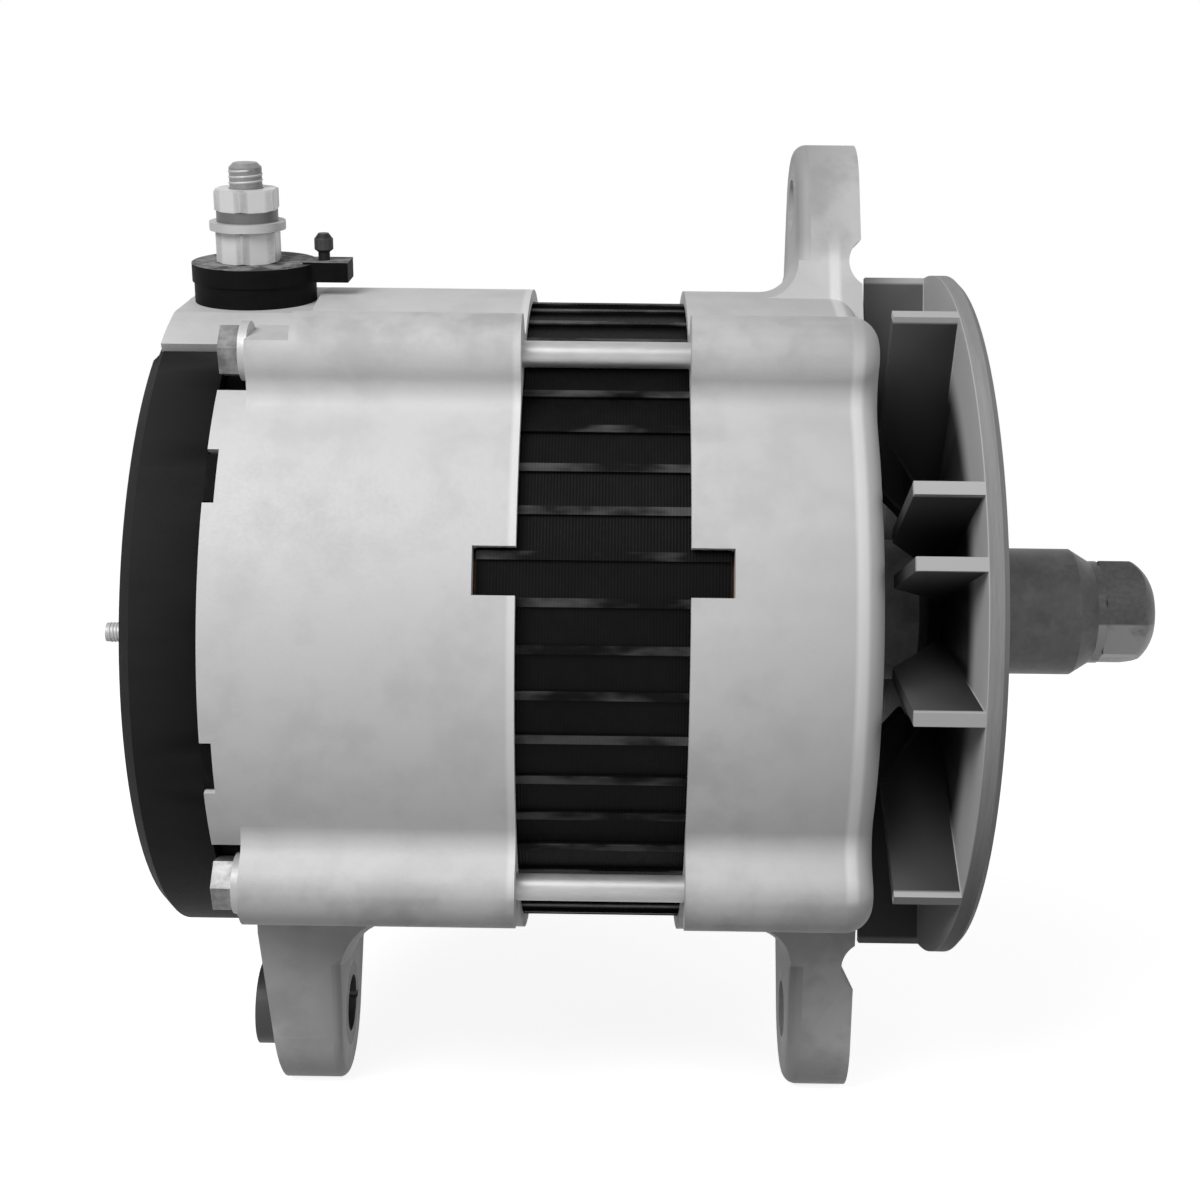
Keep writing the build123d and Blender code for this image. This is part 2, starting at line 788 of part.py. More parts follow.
def positive_heat_sink():
    holes = [(e, stud_circle, bush_neck_radius + static_gap) for e in stud_elevations]
    holes += [(e, diode_circle, diode_radius + static_gap) for e in positive_diodes]
    holes += [(e, diode_circle, diode_lead_radius + diode_lead_clear) for e in negative_diodes]
    return heat_sink(positive_rear, holes)


def diodes(front, elevations):
    """Press-in diodes with their leads, which end in the terminal board."""
    return [
        side_bar(front - diode_height, front, diode_radius, e, diode_circle)
        + side_bar(board_rear - 1, front - diode_height, diode_lead_radius, e, diode_circle)
        for e in elevations
    ]


def positive_diode_set():
    return diodes(positive_front, positive_diodes)


def negative_diode_set():
    return diodes(negative_front, negative_diodes)


def terminal_board():
    """Moulded board that joins the phase leads to the diodes."""
    board = sector([
        (board_rear, board_inner), (board_front, board_inner),
        (board_front, board_outer), (board_rear, board_outer),
    ], sink_high, sink_low)
    ear_end = lead_circle + lead_radius + board_ear_wall
    ear = block(board_rear, board_front, -board_ear_half, board_ear_half, board_inner, ear_end)
    board += [turn(e) * ear for e in lead_elevations]
    for elevation in lead_elevations:
        board -= side_bar(board_rear - 1, board_front + 1, lead_radius + static_gap, elevation, lead_circle)
    for elevation in positive_diodes + negative_diodes:
        hole_radius = diode_lead_radius + static_gap
        board -= side_bar(board_rear - 1, board_front + 1, hole_radius, elevation, diode_circle)
    for elevation in stud_elevations:
        board -= side_bar(board_rear - 1, board_front + 1, stud_radius + bolt_gap, elevation, stud_circle)
    return board


def insulating_bushes():
    """Bushes that keep the positive plate off the studs, the housing and the board."""
    inner = stud_radius + static_gap
    solids = []
    for elevation in stud_elevations:
        spacer = side_tube(positive_front, negative_rear, bush_shoulder_radius, inner, elevation, stud_circle)
        solids.append(spacer)
        collar = side_tube(board_front, positive_rear, bush_shoulder_radius, inner, elevation, stud_circle)
        neck = side_tube(positive_rear, positive_front, bush_neck_radius, inner, elevation, stud_circle)
        solids.append(collar + neck)
    return solids


def cover_studs():
    return [
        side_bar(stud_tip, end_wall_front, stud_radius, e, stud_circle)
        for e in stud_elevations + [lone_stud_elevation]
    ]


def cover_nuts():
    high = cover_rear - cover_washer_thickness
    low = high - cover_nut_height
    solids = []
    for elevation in stud_elevations + [lone_stud_elevation]:
        nut = hex_along(low, high, cover_nut_flats, elevation, stud_circle)
        solids.append(nut - side_bar(low - 1, high + 1, stud_radius + static_gap, elevation, stud_circle))
    return solids


def cover_washers():
    low = cover_rear - cover_washer_thickness
    return [
        side_tube(low, cover_rear, cover_washer_radius, stud_radius + static_gap, e, stud_circle)
        for e in stud_elevations + [lone_stud_elevation]
    ]


def slot_cutter(inner, outer, width, x_low, x_high):
    shape = Pos(0, (inner + outer) / 2) * SlotOverall(outer - inner, width, rotation=90)
    return extrude(Plane.YZ.offset(x_low) * shape, x_high - x_low)


def rear_cover():
    """Black moulded cover: round wall, flat vented face, inner spigot, clamping posts, edge tabs."""
    inner = cover_radius - cover_wall
    face_front = cover_rear + cover_wall
    spigot_outer = rear_cavity_radius - loose_gap
    spigot_inner = spigot_outer - cover_wall
    rim_front = rear_edge - cover_wall
    inside = tongue_high + tongue_clear_angle
    outside = tongue_low - tongue_clear_angle
    shell = sector([
        (rear_edge, spigot_outer), (rear_edge, cover_radius), (cover_rear + cover_round, cover_radius),
        (cover_rear, cover_radius - cover_round), (cover_rear, 0), (face_front, 0), (face_front, inner),
        (rim_front, inner), (rim_front, spigot_inner), (rear_edge + spigot_depth, spigot_inner),
        (rear_edge + spigot_depth, spigot_outer),
    ], outside + 360, inside)
    shell += sector([
        (cover_rear, 0), (face_front, 0), (face_front, spigot_inner), (rear_edge + spigot_depth, spigot_inner),
        (rear_edge + spigot_depth, spigot_outer), (cover_rear, spigot_outer),
    ], inside, outside)
    half_wall = cover_wall / 2
    cheek = [
        (cover_rear + half_wall, spigot_outer - 0.5), (rear_edge - half_wall, spigot_outer - 0.5),
        (rear_edge - half_wall, inner + half_wall), (cover_rear + half_wall, inner + half_wall),
    ]
    shell += sector(cheek, inside + 2 * tongue_clear_angle, inside)
    shell += sector(cheek, outside, outside - 2 * tongue_clear_angle)
    for elevation in edge_notch_elevations:
        half = edge_notch_angle / 2 - 0.5
        tab_front = rear_edge + edge_notch_depth - bolt_gap
        shell += sector([
            (rear_edge - 0.5, spigot_outer - cover_wall / 2), (tab_front, spigot_outer - cover_wall / 2),
            (tab_front, cover_radius - static_gap), (rear_edge - 0.5, cover_radius - static_gap),
        ], elevation + half, elevation - half)
    for elevation in stud_elevations:
        shell += side_bar(cover_rear + 1, board_rear, cover_post_radius, elevation, stud_circle)
    shell += side_bar(cover_rear + 1, positive_rear, cover_post_radius, lone_stud_elevation, stud_circle)
    for elevation in stud_elevations + [lone_stud_elevation]:
        shell -= side_bar(cover_rear - 1, positive_rear + 1, stud_radius + bolt_gap, elevation, stud_circle)
    inner_slot = slot_cutter(vent_inner, vent_outer, vent_width, cover_rear - 1, face_front + 1)
    outer_slot = slot_cutter(outer_vent_inner, outer_vent_outer, vent_width, cover_rear - 1, face_front + 1)
    for i in range(vent_count):
        shell -= Rot(i * 360 / vent_count, 0, 0) * inner_slot
        shell -= Rot((i + 0.5) * 360 / vent_count, 0, 0) * outer_slot
    reach = inner_washer_radius + 1
    passage_front = rear_edge + spigot_depth + 1
    passage = block(terminal_x - reach, passage_front, -reach, reach, spigot_inner - 5, cover_radius)
    shell -= turn(terminal_elevation) * passage
    return shell


def output_insulator():
    """Black moulded insulator under the output stud, with the ear that carries the signal pin."""
    ear_top = terminal_top + ear_extra
    ear_end = terminal_x + ear_end_reach
    solid = upright(insulator_x, terminal_flat, flange_bottom, collar_radius)
    solid += upright(insulator_x, flange_bottom, terminal_top, flange_radius)
    solid += upright(terminal_x, insulator_neck_end, terminal_flat, insulator_neck_radius)
    solid += block(signal_x - ear_half, ear_end, -ear_half, ear_half, flange_bottom, ear_top)
    solid -= upright(terminal_x, insulator_neck_end - 1, terminal_top + 1, output_stud_radius + static_gap)
    solid -= upright(signal_x, terminal_top - signal_pin_sunk, ear_top + 1, signal_pin_radius + static_gap)
    return turn(terminal_elevation) * solid


def signal_pin():
    """Small round-headed pin for the charge signal."""
    low = terminal_top - signal_pin_sunk
    neck = terminal_top + signal_pin_length - signal_tip_radius
    tip = signal_tip_radius
    profile = Polyline([
        (0, low), (signal_pin_radius, low), (signal_pin_radius, neck), (tip, neck + 0.3 * tip),
        (tip, neck + 1.4 * tip), (0.55 * tip, neck + 2 * tip), (0, neck + 2 * tip),
    ], close=True)
    pin = revolve(Plane.XZ * make_face(profile), Axis.Z)
    return turn(terminal_elevation) * Pos(signal_x, 0, 0) * pin


def inner_insulating_washer():
    solid = upright(terminal_x, inner_head_top, inner_washer_top, inner_washer_radius)
    solid -= upright(terminal_x, inner_head_top - 1, inner_washer_top + 1, insulator_neck_radius + static_gap)
    return turn(terminal_elevation) * solid


def output_stud():
    """Stud with a hexagon head inside and a slightly thinner free end above the upper nut."""
    end_top = output_stud_tip - output_end_chamfer
    tip_middle = output_stud_tip - output_end_chamfer / 2
    solid = upright_hex(terminal_x, inner_head_low, inner_head_top, output_nut_flats)
    solid += upright(terminal_x, inner_head_top, upper_nut_top, output_stud_radius)
    solid += upright(terminal_x, upper_nut_top, end_top, output_end_radius)
    cone = Cone(output_end_radius, output_end_radius - output_end_chamfer, output_end_chamfer)
    return turn(terminal_elevation) * (solid + Pos(terminal_x, 0, tip_middle) * cone)


def nut_on_stud(low, high):
    """A hexagon nut with its corners taken off at both ends."""
    corner = output_nut_flats / math.sqrt(3)
    end = corner - output_nut_chamfer
    slope = output_nut_chamfer / 2
    envelope = revolve(Plane.XZ * make_face(Polyline([
        (0, low), (end, low), (corner, low + slope), (corner, high - slope), (end, high), (0, high),
    ], close=True)), Axis.Z)
    solid = upright_hex(terminal_x, low, high, output_nut_flats) & (Pos(terminal_x, 0, 0) * envelope)
    solid -= upright(terminal_x, low - 1, high + 1, output_stud_radius + static_gap)
    return turn(terminal_elevation) * solid


def washer_on_stud(low, high, radius):
    solid = upright(terminal_x, low, high, radius)
    solid -= upright(terminal_x, low - 1, high + 1, output_stud_radius + static_gap)
    return turn(terminal_elevation) * solid


def output_lower_nut():
    return nut_on_stud(terminal_top, lower_nut_top)


def output_plain_washer():
    return washer_on_stud(lower_nut_top, plain_washer_top, plain_washer_radius)


def output_spring_washer():
    return washer_on_stud(plain_washer_top, spring_washer_top, spring_washer_radius)


def output_upper_nut():
    return nut_on_stud(spring_washer_top, upper_nut_top)


def output_link():
    """Copper strip from the positive plate to the head of the output stud."""
    half = link_width / 2
    leg_end = sink_outer - link_overlap
    leg = block(positive_rear - link_thickness, positive_rear, -half, half, leg_end, inner_head_low)
    foot_low = inner_head_low - link_thickness
    foot = block(terminal_x - half, positive_rear, -half, half, foot_low, inner_head_low)
    return turn(terminal_elevation) * (leg + foot)


def brush_x(index):
    return ring_front - ring_width / 2 - index * ring_pitch


def slip_rings():
    rings = []
    for index in range(2):
        middle = brush_x(index)
        rings.append(tube(middle - ring_width / 2, middle + ring_width / 2, ring_radius,
                          ring_sleeve_radius + static_gap))
    return rings


def slip_ring_sleeve():
    low = brush_x(1) - ring_width / 2 - ring_sleeve_margin
    high = ring_front + ring_sleeve_margin
    sleeve = tube(low, high, ring_sleeve_radius, shaft_tail_radius + static_gap)
    return sleeve + tube(high - ring_sleeve_margin, high, ring_radius, ring_sleeve_radius - 1)


def brush(index):
    top = ring_radius + brush_contact_gap
    middle = brush_x(index)
    return block(middle - brush_width / 2, middle + brush_width / 2, -brush_depth / 2, brush_depth / 2,
                 -top - brush_length, -top)


def brush_spring(index):
    high = -(ring_radius + brush_contact_gap + brush_length)
    spring = Cylinder(spring_radius, spring_length)
    spring -= Cylinder(spring_radius - spring_wall, spring_length)
    return Pos(brush_x(index), 0, high - spring_length / 2) * spring


def brush_holder():
    """Moulded holder with one guide for each brush, screwed to the end wall."""
    low = brush_x(1) - brush_width / 2 - holder_margin
    top = -(ring_radius + holder_clear)
    floor = -(ring_radius + brush_contact_gap + brush_length + spring_length)
    bottom = floor - holder_floor
    solid = block(low, end_wall_rear, -holder_half, holder_half, bottom, top)
    foot_low = end_wall_rear - holder_foot_thickness
    solid += block(foot_low, end_wall_rear, -holder_foot_half, holder_foot_half, bottom, -holder_foot_top)
    for index in range(2):
        middle = brush_x(index)
        half_width = brush_width / 2 + running_gap
        half_depth = brush_depth / 2 + running_gap
        solid -= block(middle - half_width, middle + half_width, -half_depth, half_depth, floor, top + 1)
    for side in (-1, 1):
        hole = bar(foot_low - 1, end_wall_rear + 1, small_screw_radius + bolt_gap)
        solid -= Pos(0, side * holder_screw_y, -holder_screw_z) * hole
    return solid


def holder_screws():
    head = end_wall_rear - holder_foot_thickness
    return [
        pan_screw(head, end_wall_front - 0.5, small_screw_radius, side * holder_screw_y, -holder_screw_z)
        for side in (-1, 1)
    ]


def voltage_regulator():
    """Finned regulator on the end wall."""
    half_y = regulator_width / 2
    half_z = regulator_height / 2
    middle_y, middle_z = spot(regulator_elevation, regulator_circle)
    base_rear = end_wall_rear - regulator_base
    fin_rear = base_rear - regulator_fin_height
    solid = block(base_rear, end_wall_rear, middle_y - half_y, middle_y + half_y,
                  middle_z - half_z, middle_z + half_z)
    pitch = regulator_width / regulator_fins
    for i in range(regulator_fins):
        start = middle_y - half_y + i * pitch
        solid += block(fin_rear, base_rear, start, start + pitch / 2, middle_z - half_z, middle_z + half_z)
    for side in (-1, 1):
        y, z = regulator_hole(side)
        solid -= Pos(0, y, z) * bar(fin_rear - 1, base_rear, pan_head_radius + loose_gap)
        solid -= Pos(0, y, z) * bar(base_rear - 1, end_wall_rear + 1, small_screw_radius + bolt_gap)
    return solid


def regulator_screws():
    head = end_wall_rear - regulator_base
    screws = []
    for side in (-1, 1):
        y, z = regulator_hole(side)
        screws.append(pan_screw(head, end_wall_front - 0.5, small_screw_radius, y, z))
    return screws


def key_block(extra):
    """The key, or the slot for it, along the pulley seat and the fan hub."""
    half = key_width / 2 + extra
    low = shaft_front_radius - key_sunk - extra
    high = shaft_front_radius - key_sunk + key_height + extra
    x_low = fan_hub_rear + key_hub_margin - extra
    return block(x_low, seat_front - key_end_margin + extra, -half, half, low, high)


def shaft():
    """Stepped shaft, drawn as one turned piece with its key slot."""
    step = seat_front - shaft_step_depth
    tip = seat_front + nut_washer_thickness + nut_length - shaft_tip_inset
    solid = turned([
        (shaft_rear_end, 0), (shaft_rear_end, shaft_tail_radius), (rear_bearing_rear - 1, shaft_tail_radius),
        (rear_bearing_rear - 1, rear_bearing_bore), (rear_bearing_front, rear_bearing_bore),
        (rear_bearing_front, rear_shoulder_radius), (pole_rear, rear_shoulder_radius),
        (pole_rear, rotor_seat_radius), (pole_front, rotor_seat_radius), (pole_front, front_bearing_bore + 2),
        (bearing_rear_face, front_bearing_bore + 2), (bearing_rear_face, front_bearing_bore),
        (bearing_front_face, front_bearing_bore), (bearing_front_face, shaft_front_radius),
        (step, shaft_front_radius), (step, thread_radius), (tip - 1, thread_radius),
        (tip, thread_radius - 1), (tip, 0),
    ])
    return solid - key_block(static_gap)


def shaft_key():
    return key_block(0)


def claw_pole():
    """Front claw pole: a plate, half of the core and seven tapered fingers that point backwards."""
    plate_rear = pole_front - pole_plate
    tip = pole_rear + claw_tip_margin
    solid = bar(plate_rear, pole_front, pole_web_radius)
    solid += bar(stack_middle, plate_rear, pole_core_radius)
    claw_inner = rotor_radius - claw_root_thickness
    claw_foot = pole_web_radius - claw_root_overlap
    ring = turned([
        (pole_front, claw_foot), (pole_front, rotor_radius), (tip, rotor_radius),
        (tip, rotor_radius - claw_tip_thickness), (plate_rear, claw_inner), (plate_rear, claw_foot),
    ])
    plan = make_face(Polyline([
        (pole_front, -claw_root_width / 2), (plate_rear, -claw_root_width / 2), (tip, -claw_tip_width / 2),
        (tip, claw_tip_width / 2), (plate_rear, claw_root_width / 2), (pole_front, claw_root_width / 2),
    ], close=True))
    wedge = extrude(Pos(0, 0, pole_web_radius / 2) * plan, rotor_radius)
    claw = ring & wedge
    solid += [Rot(i * 360 / claw_count, 0, 0) * claw for i in range(claw_count)]
    return solid - bar(stack_middle - 1, pole_front + 1, rotor_seat_radius + static_gap)


def front_claw_pole():
    return claw_pole()


def rear_claw_pole():
    """The same claw pole turned end for end; with an odd number of fingers they fall into the gaps."""
    return Pos(2 * stack_middle, 0, 0) * Rot(0, 180, 0) * claw_pole()


def field_bobbin():
    """Plastic bobbin between the two claw poles."""
    low = pole_rear + pole_plate
    high = pole_front - pole_plate
    inner = pole_core_radius + static_gap
    return turned([
        (low, inner), (high, inner), (high, coil_radius), (high - bobbin_wall, coil_radius),
        (high - bobbin_wall, inner + bobbin_wall), (low + bobbin_wall, inner + bobbin_wall),
        (low + bobbin_wall, coil_radius), (low, coil_radius),
    ])


def field_coil():
    low = pole_rear + pole_plate + bobbin_wall
    high = pole_front - pole_plate - bobbin_wall
    return tube(low, high, coil_radius, pole_core_radius + 2 * static_gap + bobbin_wall)


def front_spacer():
    """Sleeve between the front bearing and the fan hub."""
    return tube(bearing_front_face, fan_hub_rear, spacer_radius, shaft_front_radius + static_gap)


def fan_vane():
    """A flat vane behind the fan disc, drawn upwards; its foot slopes down towards the hub."""
    rear_side = fan_front - fan_disc_thickness
    edge = rear_side - vane_depth
    side = make_face(Polyline([
        (rear_side + 1, vane_inner_radius), (rear_side - vane_foot_depth, vane_inner_radius),
        (edge, vane_full_radius), (edge, fan_radius), (rear_side + 1, fan_radius),
    ], close=True))
    return extrude(Plane.XZ * side, vane_thickness / 2, both=True)


def fan():
    """Cast fan: bevelled disc, hub and twelve unevenly spaced flat vanes."""
    rear_side = fan_front - fan_disc_thickness
    hub_step = fan_hub_radius + fan_hub_fillet
    solid = turned([
        (fan_hub_rear, 0), (seat_rear, 0), (seat_rear, fan_hub_radius), (fan_front, hub_step),
        (fan_front, fan_radius - fan_bevel), (fan_front - fan_bevel, fan_radius), (rear_side, fan_radius),
        (rear_side, hub_step), (fan_hub_rear, fan_hub_radius),
    ])
    vane = fan_vane()
    for elevation in vane_elevations:
        solid += turn(elevation) * vane
        solid += turn(elevation + 180) * vane
    solid -= bar(fan_hub_rear - 1, seat_rear + 1, shaft_front_radius + static_gap)
    return solid - key_block(static_gap)


def pulley_collar():
    """Collar that holds the place of the pulley; its outside is the seat that the pulley would take."""
    start = seat_front - seat_chamfer_length
    solid = turned([
        (seat_rear, shaft_front_radius + static_gap), (seat_rear, seat_radius), (start, seat_radius),
        (seat_front, seat_radius - seat_chamfer_depth), (seat_front, shaft_front_radius + static_gap),
    ])
    return solid - key_block(static_gap)


def nut_washer():
    return tube(seat_front, seat_front + nut_washer_thickness, nut_washer_radius, thread_radius + bolt_gap)


def shaft_nut():
    """Long hexagon nut with a domed front."""
    low = seat_front + nut_washer_thickness
    high = low + nut_length
    side = nut_flats / math.sqrt(3)
    hexagon = extrude(Plane.YZ.offset(low) * RegularPolygon(side, 6), nut_length)
    corner = side + 0.1
    dome_start = high - nut_dome_length
    bulge_x = high - nut_bulge_back * nut_dome_length
    bulge = (bulge_x, nut_dome_radius + nut_bulge_share * (corner - nut_dome_radius))
    edges = Polyline((low, 0), (low, corner), (dome_start, corner))
    edges += ThreePointArc((dome_start, corner), bulge, (high, nut_dome_radius))
    edges += Polyline((high, nut_dome_radius), (high, 0), (low, 0))
    solid = Rot(-nut_corner_elevation, 0, 0) * hexagon & revolve(Plane.XZ * make_face(edges), Axis.X)
    return solid - bar(low - 1, high + 1, thread_radius + static_gap)


def save(name, shape):
    """Write one node; a list becomes a group of separate solids."""
    if isinstance(shape, list):
        shape = Compound(children=[s for item in shape for s in item.solids()])
    export_step(shape, os.path.join("parts", name + ".step"))


nodes = {
    "front_housing": front_housing,
    "rear_housing": rear_housing,
    "hinge_bush": hinge_bush,
    "stator_core": stator_core,
    "stator_winding": stator_winding,
    "stator_leads": stator_leads,
    "through_bolts": through_bolts,
    "through_bolt_washers": through_bolt_washers,
    "front_bearing_outer_ring": front_bearing_outer,
    "front_bearing_inner_ring": front_bearing_inner,
    "rear_bearing_outer_ring": rear_bearing_outer,
    "rear_bearing_inner_ring": rear_bearing_inner,
    "bearing_retainer": bearing_retainer,
    "retainer_screws": retainer_screws,
    "negative_heat_sink": negative_heat_sink,
    "positive_heat_sink": positive_heat_sink,
    "negative_diodes": negative_diode_set,
    "positive_diodes": positive_diode_set,
    "terminal_board": terminal_board,
    "insulating_bushes": insulating_bushes,
    "cover_studs": cover_studs,
    "cover_nuts": cover_nuts,
    "cover_washers": cover_washers,
    "rear_cover": rear_cover,
    "output_insulator": output_insulator,
    "signal_pin": signal_pin,
    "inner_insulating_washer": inner_insulating_washer,
    "output_stud": output_stud,
    "output_lower_nut": output_lower_nut,
    "output_plain_washer": output_plain_washer,
    "output_spring_washer": output_spring_washer,
    "output_upper_nut": output_upper_nut,
    "output_link": output_link,
    "slip_rings": slip_rings,
    "slip_ring_sleeve": slip_ring_sleeve,
    "brush_holder": brush_holder,
    "holder_screws": holder_screws,
    "voltage_regulator": voltage_regulator,
    "regulator_screws": regulator_screws,
    "shaft": shaft,
    "shaft_key": shaft_key,
    "front_claw_pole": front_claw_pole,
    "rear_claw_pole": rear_claw_pole,
    "field_bobbin": field_bobbin,
    "field_coil": field_coil,
    "front_spacer": front_spacer,
    "fan": fan,
    "pulley_collar": pulley_collar,
    "nut_washer": nut_washer,
    "shaft_nut": shaft_nut,
}

os.makedirs("parts", exist_ok=True)
for name, make in nodes.items():
    save(name, make())
for index, name in enumerate(("front", "rear")):
    save(name + "_brush", brush(index))
    save(name + "_brush_spring", brush_spring(index))
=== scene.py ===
import bpy
import bmesh
import math
from mathutils import Matrix, Vector


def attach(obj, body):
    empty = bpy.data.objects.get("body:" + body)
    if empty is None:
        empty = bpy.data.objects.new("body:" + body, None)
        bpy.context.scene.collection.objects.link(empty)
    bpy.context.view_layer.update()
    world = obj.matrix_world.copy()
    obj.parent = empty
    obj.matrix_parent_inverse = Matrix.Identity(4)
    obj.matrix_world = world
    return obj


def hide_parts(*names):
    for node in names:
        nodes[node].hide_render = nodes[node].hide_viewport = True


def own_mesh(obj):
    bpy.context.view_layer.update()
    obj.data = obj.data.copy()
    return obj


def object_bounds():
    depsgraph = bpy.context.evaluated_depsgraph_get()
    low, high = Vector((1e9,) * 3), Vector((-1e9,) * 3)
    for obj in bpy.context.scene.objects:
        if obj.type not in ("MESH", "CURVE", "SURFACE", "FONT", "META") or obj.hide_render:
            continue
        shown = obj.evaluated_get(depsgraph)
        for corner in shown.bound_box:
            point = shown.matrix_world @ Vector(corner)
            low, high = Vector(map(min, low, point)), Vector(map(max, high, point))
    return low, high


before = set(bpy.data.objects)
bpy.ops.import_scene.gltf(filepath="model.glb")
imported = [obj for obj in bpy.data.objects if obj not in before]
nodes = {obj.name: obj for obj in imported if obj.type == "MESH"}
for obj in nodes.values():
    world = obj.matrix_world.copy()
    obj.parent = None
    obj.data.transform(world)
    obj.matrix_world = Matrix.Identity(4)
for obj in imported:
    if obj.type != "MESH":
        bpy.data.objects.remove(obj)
cad_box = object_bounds()
mm = 0.001


# Places that the finishes and the painted light and shade follow: out from the shaft's axis, below it, or
# along it

lug_foot_radius = 84.0 * mm
boss_underside = 55.25 * mm
front_shoulder = -45.6 * mm
rear_skirt_edge = -114.2 * mm
fan_disc_back = -22.1 * mm
fan_disc_middle = -19.5 * mm
fan_rim_radius = 77.0 * mm
fan_painted_light_radius = 62.0 * mm
fan_vane_foot_radius = 52.5 * mm
rib_top_radius = 71.025 * mm
bolt_neck = -164.0 * mm
nut_lower_half = 2.3 * mm


# Building blocks for materials

def new_material(name):
    material = bpy.data.materials.new(name)
    material.use_nodes = True
    tree = material.node_tree
    tree.nodes.clear()
    return material, tree


def add(tree, kind, inputs=None, **settings):
    node = tree.nodes.new(kind)
    for key, value in settings.items():
        setattr(node, key, value)
    for key, value in (inputs or {}).items():
        node.inputs[key].default_value = value
    return node


def grey(level):
    return (level, level, level)


def ramp(tree, source, stops):
    """A colour ramp from a factor; stops are tuples of place and grey level or colour."""
    node = add(tree, "ShaderNodeValToRGB")
    elements = node.color_ramp.elements
    while len(elements) < len(stops):
        elements.new(0.5)
    for element, (place, colour) in zip(elements, stops):
        if not isinstance(colour, tuple):
            colour = grey(colour)
        element.position = place
        element.color = (*colour, 1.0)
    tree.links.new(source, node.inputs["Fac"])
    return node.outputs["Color"]


def mix(tree, blend, factor, first, second):
    """Mix two colours; each of the three inputs is a socket or a fixed value."""
    node = add(tree, "ShaderNodeMix", data_type="RGBA", blend_type=blend)
    for key, value in ((0, factor), (6, first), (7, second)):
        if isinstance(value, bpy.types.NodeSocket):
            tree.links.new(value, node.inputs[key])
        elif key == 0:
            node.inputs[key].default_value = value
        else:
            node.inputs[key].default_value = (*value, 1.0)
    return node.outputs[2]


def shade(tree, colour, factor, level):
    """Darken a colour to a share of itself, as far as the factor says."""
    return mix(tree, "MULTIPLY", factor, colour, grey(level))


def cover(tree, factor, below, above):
    """Lay one colour over another, as far as the factor says."""
    return mix(tree, "MIX", factor, below, above)


def noise(tree, place, scale, detail=4.0, rough=0.55):
    node = add(tree, "ShaderNodeTexNoise", {"Scale": scale, "Detail": detail, "Roughness": rough})
    tree.links.new(place, node.inputs["Vector"])
    return node.outputs["Fac"]


def stretched(tree, place, scale):
    node = add(tree, "ShaderNodeMapping", {"Scale": scale})
    tree.links.new(place, node.inputs["Vector"])
    return node.outputs["Vector"]


def math_node(tree, operation, first, second=0.0):
    node = add(tree, "ShaderNodeMath", operation=operation)
    for key, value in ((0, first), (1, second)):
        if isinstance(value, bpy.types.NodeSocket):
            tree.links.new(value, node.inputs[key])
        else:
            node.inputs[key].default_value = value
    return node.outputs[0]


def times(tree, *factors):
    product = factors[0]
    for factor in factors[1:]:
        product = math_node(tree, "MULTIPLY", product, factor)
    return product


def largest(tree, *values):
    result = values[0]
    for value in values[1:]:
        result = math_node(tree, "MAXIMUM", result, value)
    return result


def opposite(tree, mask):
    return math_node(tree, "SUBTRACT", 1.0, mask)


def rise(tree, value, low, high):
    """Runs smoothly from 0 to 1 while the value goes from low to high."""
    limits = {"From Min": low, "From Max": high}
    node = add(tree, "ShaderNodeMapRange", limits, interpolation_type="SMOOTHSTEP")
    tree.links.new(value, node.inputs["Value"])
    return node.outputs["Result"]


def past(tree, value, place, width):
    """0 before a place and 1 past it, with a soft border of the given width."""
    return rise(tree, value, place - width / 2, place + width / 2)


def speckled(tree, place, scale, low, high, detail=4.0, rough=0.6):
    """Soft spots of 0 and 1; they change while the noise goes from low to high."""
    return rise(tree, noise(tree, place, scale, detail, rough), low, high)


def split(tree, vector):
    """The x, y and z of a vector."""
    parts = add(tree, "ShaderNodeSeparateXYZ")
    tree.links.new(vector, parts.inputs["Vector"])
    return parts.outputs["X"], parts.outputs["Y"], parts.outputs["Z"]


class Place:
    """Where a point of the model lies: x along the shaft, y across, z up, and the radius from its axis."""

    def __init__(self, tree):
        self.vector = add(tree, "ShaderNodeTexCoord").outputs["Object"]
        self.x, self.y, self.z = split(tree, self.vector)
        squares = math_node(tree, "ADD", times(tree, self.y, self.y), times(tree, self.z, self.z))
        self.radius = math_node(tree, "SQRT", squares)


def pointiness(tree, low, high, start, end):
    """Grey from start to end while a spot goes from low, a hollow, to high, an outer edge."""
    geometry = add(tree, "ShaderNodeNewGeometry")
    return ramp(tree, geometry.outputs["Pointiness"], [(low, start), (high, end)])


def edge_mask(tree, low=0.53, high=0.60):
    return pointiness(tree, low, high, start=0.0, end=1.0)


def bands(tree, place, pitch):
    """Fine ridges across the shaft's axis, such as sheets in a stack or rings from a lathe."""
    scale = 2 * math.pi / (20 * pitch)
    wave = add(tree, "ShaderNodeTexWave", {"Scale": scale}, wave_type="BANDS", bands_direction="X")
    tree.links.new(place, wave.inputs["Vector"])
    return wave.outputs["Fac"]


def rough_from(tree, fine, smooth, rough):
    return ramp(tree, fine, [(0.2, smooth), (0.8, rough)])


